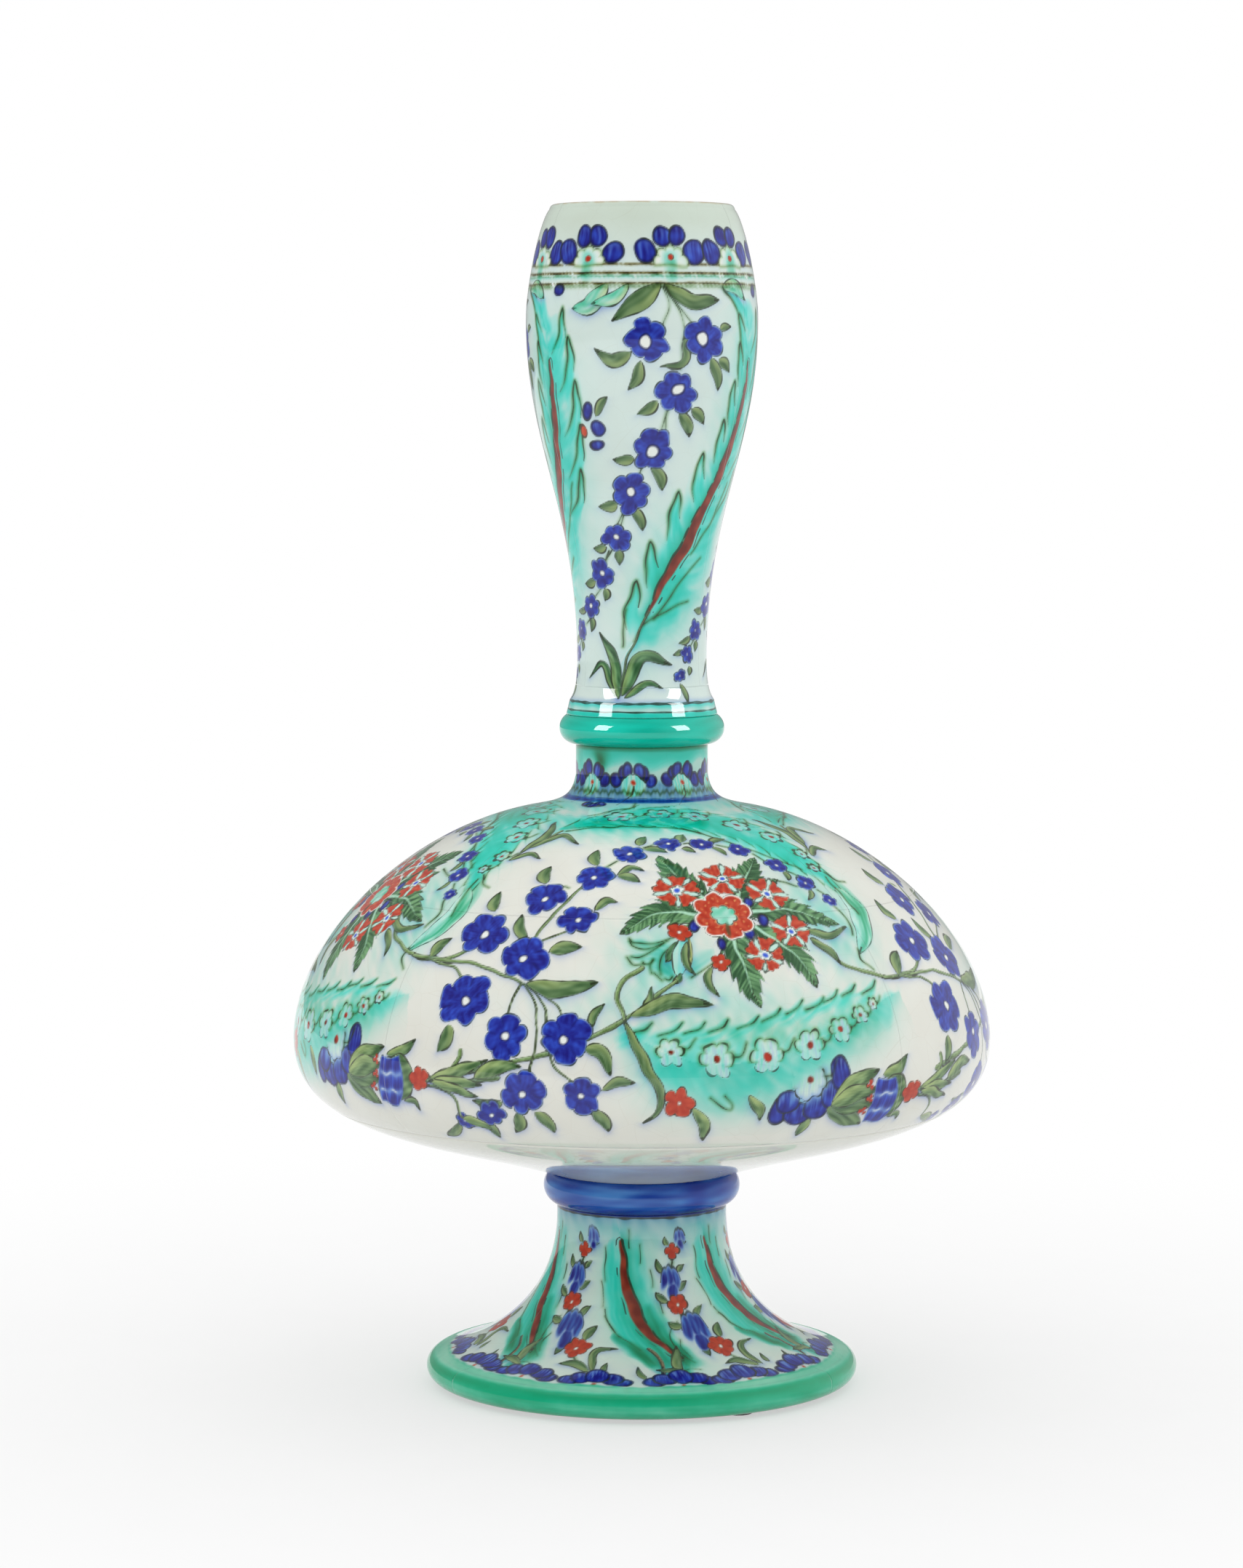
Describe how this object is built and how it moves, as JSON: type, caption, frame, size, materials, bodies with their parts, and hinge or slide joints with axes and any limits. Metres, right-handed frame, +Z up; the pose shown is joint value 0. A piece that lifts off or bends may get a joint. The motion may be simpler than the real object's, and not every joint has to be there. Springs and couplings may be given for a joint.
{
  "type": "footed faience vase",
  "caption": "Glazed vase with a trumpet foot, a low domed body and a club-shaped neck, painted with flowers and serrated leaves, open at the top to hold stems.",
  "frame": {"origin": "middle of the plane that the vase stands on, on the axis it was thrown about", "axes": "+Z up along the throwing axis; -Y is the side that the picture shows, with +X to its right"},
  "size_m": [0.298, 0.298, 0.504],
  "materials": {
    "white_glaze": "white tin glaze with underglaze painting, glossy and finely crackled",
    "neck_glaze": "white glaze with a pale turquoise cast and underglaze painting, glossy",
    "foot_glaze": "white glaze with painted leaves and a green rim, glossy",
    "green_glaze": "pooled copper green glaze, glossy",
    "blue_glaze": "brushed cobalt blue under clear glaze, glossy",
    "slip": "bare fired slip, matt",
    "felt": "dark pressed felt"
  },
  "bodies": {
    "root": {"pedestal_foot": "foot_glaze", "foot_bead": "blue_glaze", "body_bowl": "white_glaze", "body_dome": "white_glaze", "neck_bead": "green_glaze", "neck": "neck_glaze", "foot_slip_fillet": "slip", "belly_slip_band": "slip", "neck_slip_band": "slip", "felt_pad_1": "felt", "felt_pad_2": "felt", "felt_pad_3": "felt"}
  },
  "joints": []
}
